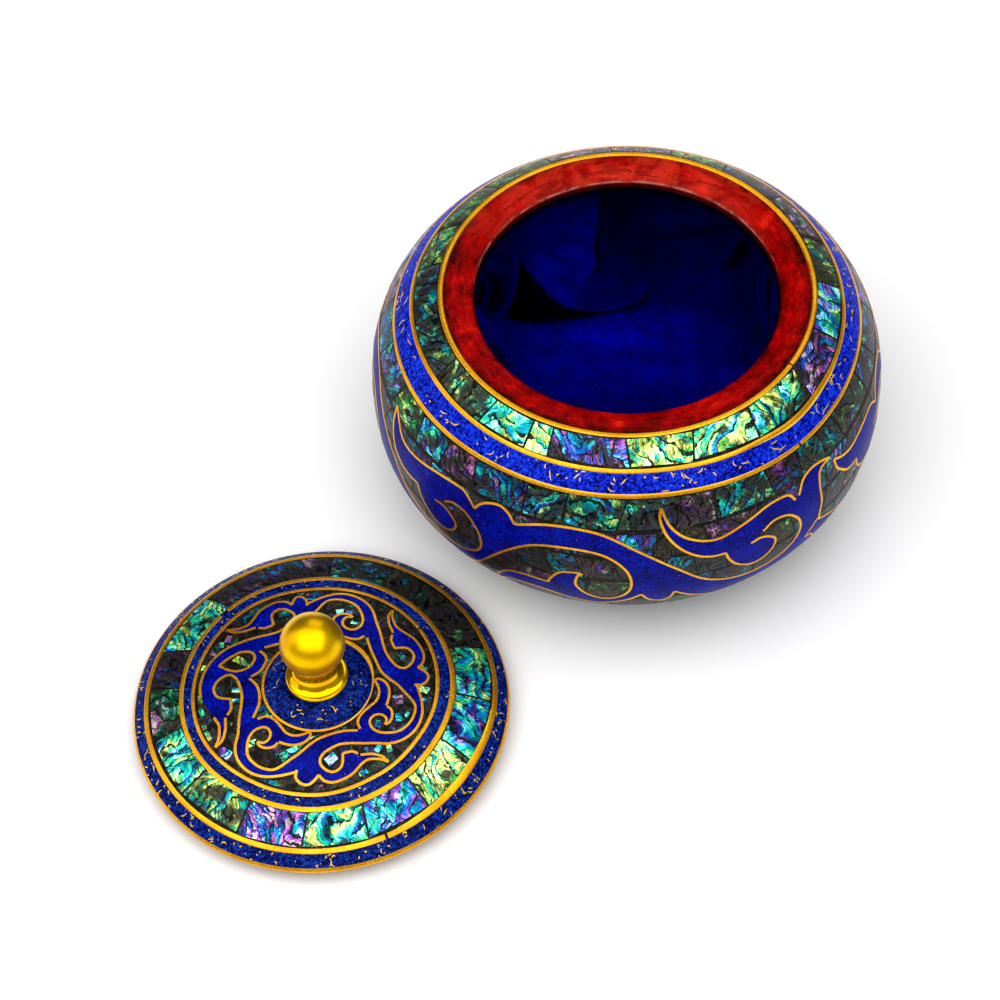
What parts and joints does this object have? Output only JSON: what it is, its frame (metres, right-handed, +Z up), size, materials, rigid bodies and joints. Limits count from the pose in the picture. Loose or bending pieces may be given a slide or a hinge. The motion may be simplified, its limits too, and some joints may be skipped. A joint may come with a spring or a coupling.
{
  "type": "inlaid jewelry box",
  "caption": "Round-bellied turned box with abalone, lapis and brass wire inlay, red rim and velvet lining, open, its domed lid with a ball knob lying beside it.",
  "frame": {"origin": "centre of the bowl's flat underside, on the surface that the box and its lid stand on", "axes": "+Z up along the bowl's axis, the bowl's front towards -Y, the lid lying to the front left (-X, -Y)"},
  "size_m": [0.1847, 0.1826, 0.064],
  "materials": {
    "red_lacquer": "glossy red lacquer over turned wood, streaked and chipped at the lip",
    "brass_wire": "brass strip ground flush, satin",
    "polished_brass": "polished turned brass",
    "lapis": "polished lapis grit with brass filings under clear resin",
    "scroll_field": "lapis scrolls outlined in brass on polished black filler with shell chips",
    "abalone": "polished abalone, iridescent green, blue and pink with dark growth lines",
    "belly_mosaic": "polished dark abalone mosaic with lapis scrolls outlined in brass",
    "black_filler": "polished black resin filler",
    "velvet": "deep blue velvet with soft folds"
  },
  "bodies": {
    "root": {"bowl_core": "red_lacquer", "rim_wire": "brass_wire", "upper_filler": "black_filler", "upper_shell_01": "abalone", "upper_shell_02": "abalone", "upper_shell_03": "abalone", "upper_shell_04": "abalone", "upper_shell_05": "abalone", "upper_shell_06": "abalone", "upper_shell_07": "abalone", "upper_shell_08": "abalone", "upper_shell_09": "abalone", "upper_shell_10": "abalone", "upper_shell_11": "abalone", "upper_shell_12": "abalone", "upper_shell_13": "abalone", "upper_shell_14": "abalone", "upper_shell_15": "abalone", "upper_shell_16": "abalone", "upper_shell_17": "abalone", "upper_shell_18": "abalone", "upper_shell_19": "abalone", "upper_shell_20": "abalone", "upper_wire": "brass_wire", "lapis_band": "lapis", "lower_wire": "brass_wire", "belly_inlay": "belly_mosaic", "velvet_lining": "velvet", "lid_core": "red_lacquer", "lid_edge_wire": "brass_wire", "lid_lapis_rim": "lapis", "lid_outer_wire": "brass_wire", "lid_filler": "black_filler", "lid_shell_01": "abalone", "lid_shell_02": "abalone", "lid_shell_03": "abalone", "lid_shell_04": "abalone", "lid_shell_05": "abalone", "lid_shell_06": "abalone", "lid_shell_07": "abalone", "lid_shell_08": "abalone", "lid_shell_09": "abalone", "lid_shell_10": "abalone", "lid_shell_11": "abalone", "lid_shell_12": "abalone", "lid_shell_13": "abalone", "lid_shell_14": "abalone", "lid_shell_15": "abalone", "lid_shell_16": "abalone", "lid_middle_wire": "brass_wire", "lid_lapis_ring": "lapis", "lid_inner_wire": "brass_wire", "lid_scroll_field": "scroll_field", "lid_centre_wire": "brass_wire", "lid_centre_disc": "lapis", "knob": "polished_brass"}
  },
  "joints": []
}
